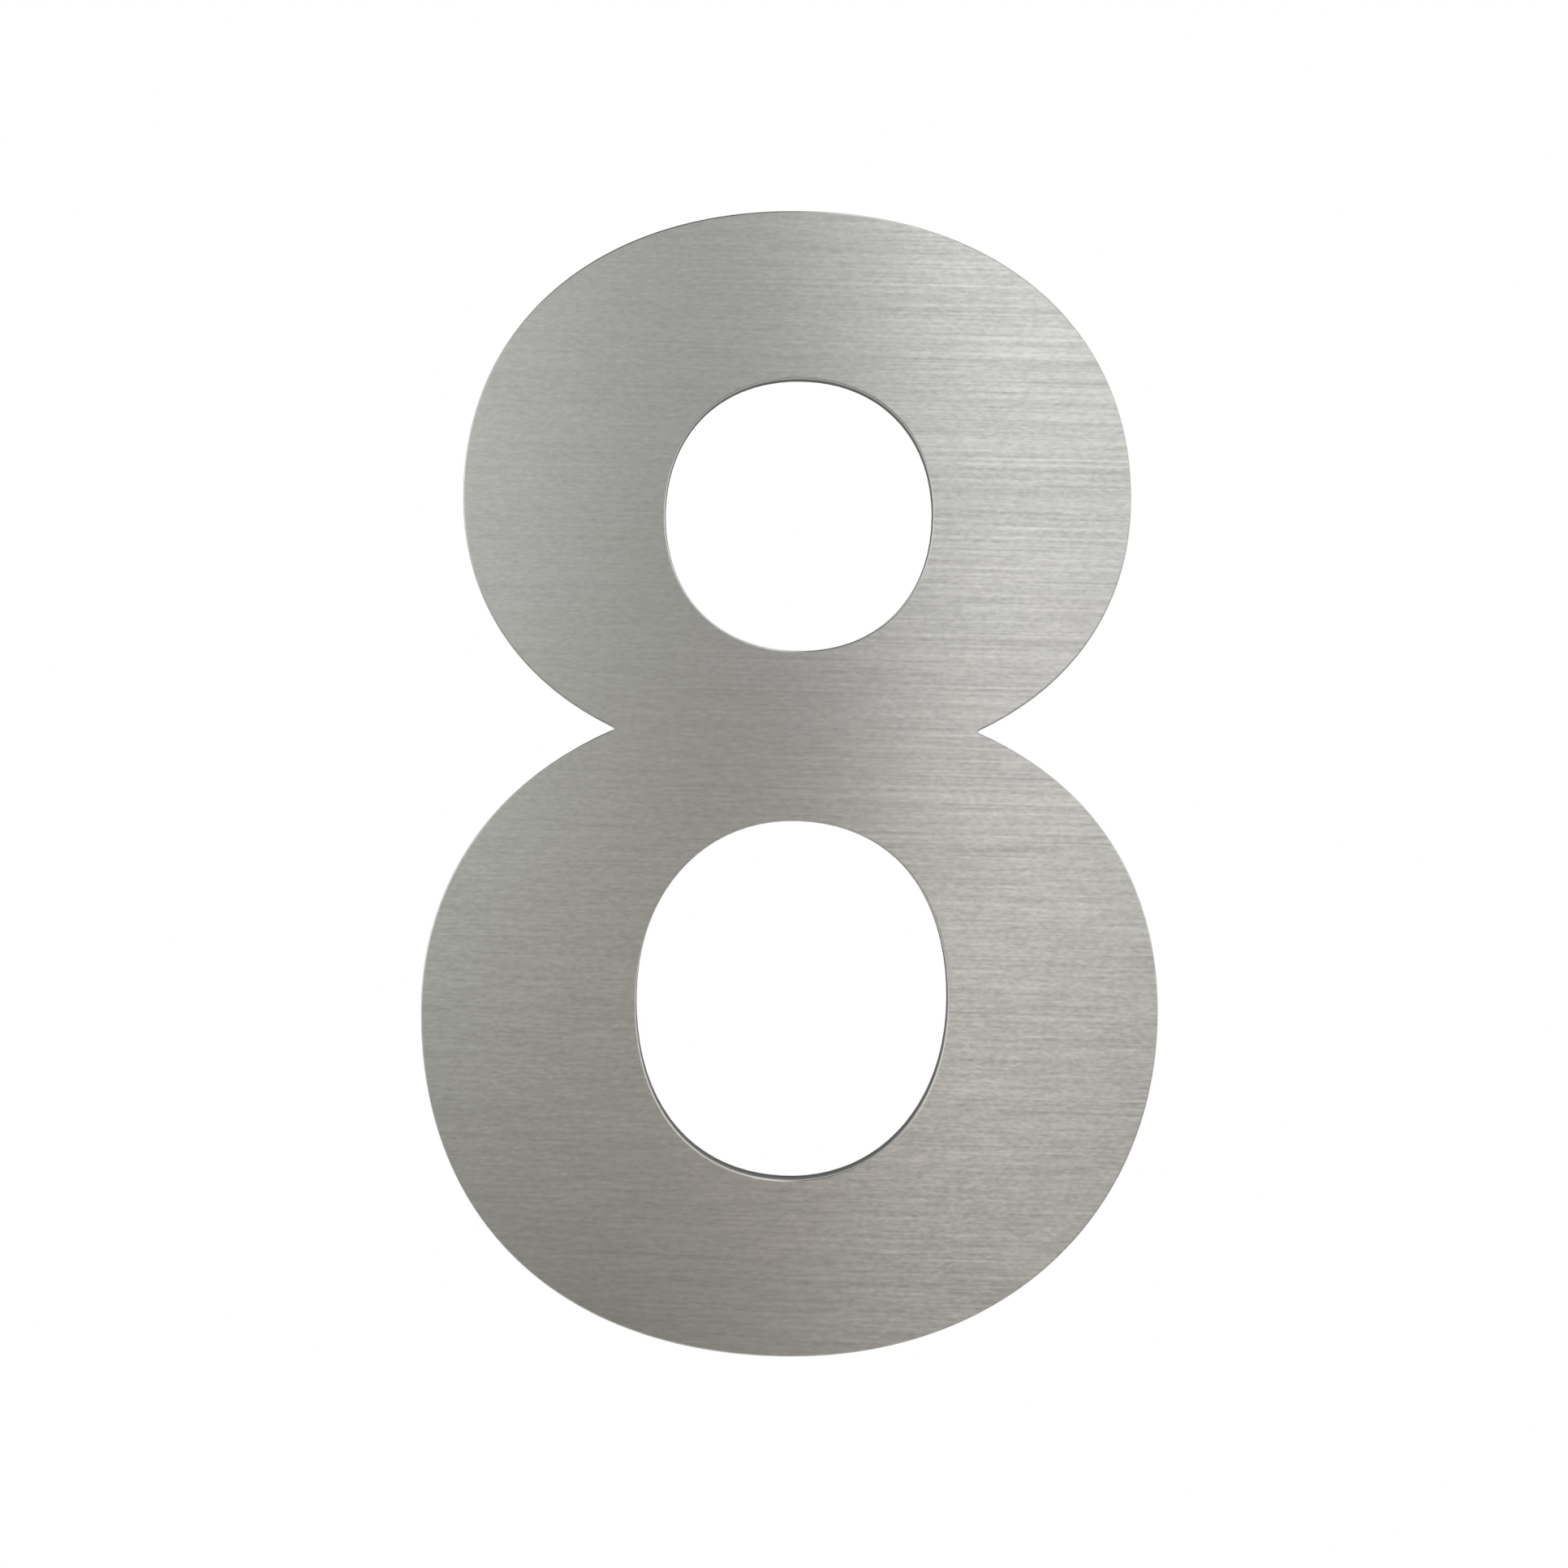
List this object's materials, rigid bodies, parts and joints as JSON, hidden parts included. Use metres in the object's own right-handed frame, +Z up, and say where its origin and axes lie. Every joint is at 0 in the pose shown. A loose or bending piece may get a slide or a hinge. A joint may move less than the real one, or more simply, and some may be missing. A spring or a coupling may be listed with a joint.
{
  "type": "house number",
  "caption": "Flat numeral eight cut from brushed stainless plate, a house number that sticks to a wall or door, with adhesive over its whole back and a release liner cut to match.",
  "frame": {"origin": "middle of the back plane, halfway up the number, on the outer side of the release liner", "axes": "+Z up the number, +X to the reader's right; the face looks towards -Y and the back towards the wall, +Y"},
  "size_m": [0.0966, 0.0033, 0.15],
  "materials": {
    "brushed_plate": "level brush lines on the face, dark satin cut edges",
    "adhesive": "cream, half gloss",
    "liner": "cool white siliconised sheet, satin"
  },
  "bodies": {
    "root": {"number_plate": "brushed_plate", "adhesive_sheet": "adhesive", "release_liner": "liner"}
  },
  "joints": []
}
